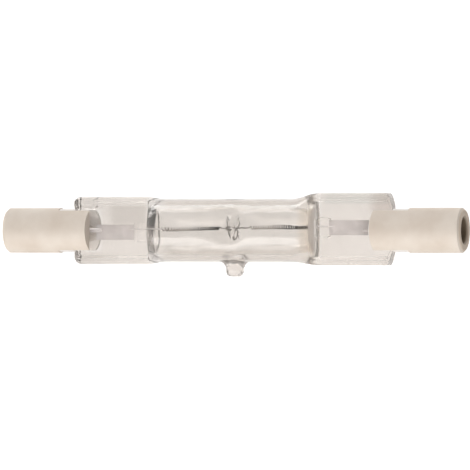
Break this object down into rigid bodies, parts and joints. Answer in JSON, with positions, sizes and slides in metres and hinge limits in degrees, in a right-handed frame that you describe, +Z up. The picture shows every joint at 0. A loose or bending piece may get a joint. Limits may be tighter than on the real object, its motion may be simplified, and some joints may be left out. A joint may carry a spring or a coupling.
{
  "type": "linear halogen bulb",
  "caption": "Double-ended linear halogen bulb, 78 mm long: clear quartz tube, coiled filament and two slotted ceramic caps.",
  "frame": {"origin": "the lamp's light centre: on the axis of its tube and caps, half way between the two ends", "axes": "+X along the lamp towards the right cap, +Z up as the bulb lies on a surface with its tube and its exhaust tip touching it, the tip towards -Y"},
  "size_m": [0.0782, 0.0127, 0.0104],
  "materials": {
    "quartz_glass": "clear fused quartz",
    "steatite": "fine matt",
    "cement": "rough matt",
    "nickel": "satin",
    "molybdenum": "satin",
    "tungsten": "dull"
  },
  "bodies": {
    "root": {"quartz_envelope": "quartz_glass", "left_ceramic_cap": "steatite", "right_ceramic_cap": "steatite", "left_contact": "nickel", "right_contact": "nickel", "left_cement": "cement", "right_cement": "cement", "left_outer_lead": "molybdenum", "right_outer_lead": "molybdenum", "left_foil": "molybdenum", "right_foil": "molybdenum", "left_inner_lead": "tungsten", "right_inner_lead": "tungsten", "filament": "tungsten", "filament_support": "tungsten"}
  },
  "joints": []
}
